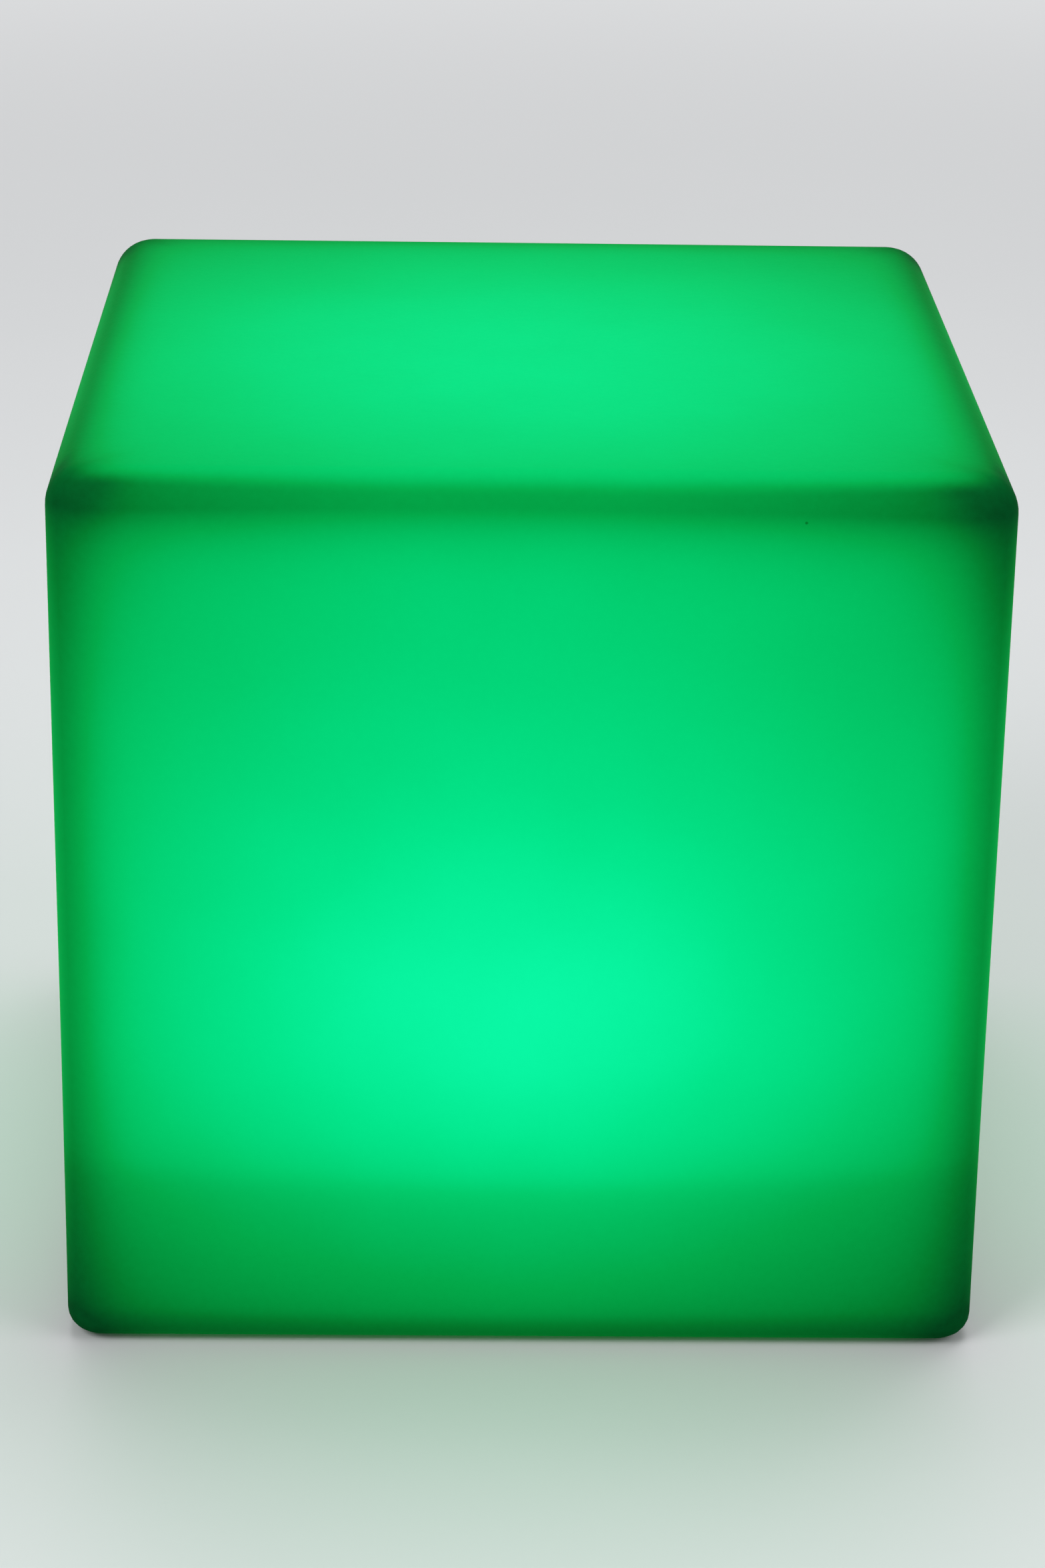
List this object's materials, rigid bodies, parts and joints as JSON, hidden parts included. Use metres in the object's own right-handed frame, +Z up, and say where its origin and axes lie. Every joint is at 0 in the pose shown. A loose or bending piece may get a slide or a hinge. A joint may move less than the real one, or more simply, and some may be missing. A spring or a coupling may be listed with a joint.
{
  "type": "light-up cube stool",
  "caption": "Glowing hollow plastic cube seat with rounded edges and a screwed-in battery light module in a round well in its base, with a push button and a hinged port cover.",
  "frame": {"origin": "under the middle of the cube, on the surface that it stands on", "axes": "+Z up through the seat, -Y the front that the picture shows, +X to the right seen from the front"},
  "size_m": [0.4, 0.4, 0.4],
  "materials": {
    "lit_polyethylene": "satin",
    "clear_bumper": "gloss",
    "insert_brass": "satin",
    "gasket_rubber": "matte",
    "housing_plastic": "satin",
    "cover_plastic": "satin",
    "screw_steel": "satin",
    "led_board_mask": "satin",
    "led_chip": "gloss",
    "receiver_resin": "gloss",
    "dome_frost": "satin",
    "silicone": "satin",
    "button_rubber": "matte",
    "jack_plastic": "satin",
    "nickel": "satin",
    "flap_rubber": "matte",
    "lens_clear": "gloss",
    "control_board_mask": "satin",
    "chip_epoxy": "matte",
    "switch_metal": "satin",
    "cradle_plastic": "matte",
    "cell_sleeve": "satin",
    "pad_foam": "matte",
    "lead_red": "satin",
    "lead_black": "satin",
    "ribbon_grey": "satin"
  },
  "bodies": {
    "root": {"shell": "lit_polyethylene", "foot_1": "clear_bumper", "foot_2": "clear_bumper", "foot_3": "clear_bumper", "foot_4": "clear_bumper", "thread_insert_1": "insert_brass", "thread_insert_2": "insert_brass", "thread_insert_3": "insert_brass", "thread_insert_4": "insert_brass", "thread_insert_5": "insert_brass", "thread_insert_6": "insert_brass", "shell_gasket": "gasket_rubber", "module_housing": "housing_plastic", "module_screw_1": "screw_steel", "module_screw_2": "screw_steel", "module_screw_3": "screw_steel", "module_screw_4": "screw_steel", "module_screw_5": "screw_steel", "module_screw_6": "screw_steel", "led_board": "led_board_mask", "led_board_screw_1": "screw_steel", "led_board_screw_2": "screw_steel", "led_board_screw_3": "screw_steel", "control_board_screw_1": "screw_steel", "control_board_screw_2": "screw_steel", "led_1": "led_chip", "led_2": "led_chip", "led_3": "led_chip", "led_4": "led_chip", "led_5": "led_chip", "led_6": "led_chip", "led_7": "led_chip", "led_8": "led_chip", "ir_receiver": "receiver_resin", "diffuser_dome": "dome_frost", "dome_seal": "silicone", "service_cover": "cover_plastic", "cover_seal": "gasket_rubber", "cover_screw_1": "screw_steel", "cover_screw_2": "screw_steel", "cover_screw_3": "screw_steel", "cover_screw_4": "screw_steel", "button_switch": "switch_metal", "dc_jack": "jack_plastic", "jack_nut": "nickel", "port_hinge_pin": "screw_steel", "indicator_lens": "lens_clear", "control_board": "control_board_mask", "driver_chip": "chip_epoxy", "battery_cradle": "cradle_plastic", "battery_cell_1": "cell_sleeve", "battery_cell_2": "cell_sleeve", "contact_strip_1": "nickel", "contact_strip_2": "nickel", "foam_pad": "pad_foam", "battery_lead_red": "lead_red", "battery_lead_black": "lead_black", "led_ribbon": "ribbon_grey"},
    "power_button": {"power_button": "button_rubber"},
    "port_cover": {"port_cover": "flap_rubber"}
  },
  "joints": [
    {"name": "button_press", "type": "slide", "parent": "root", "child": "power_button", "axis": [0, 0, 1], "range_m": [0, 0.0012], "stiffness_N_per_m": 1300, "springref_m": -0.0005},
    {"name": "port_cover_swing", "type": "hinge", "parent": "root", "child": "port_cover", "pos_m": [0.019, -0.031, 0.0347], "axis": [-1, 0, 0], "range_deg": [0, 120]}
  ]
}
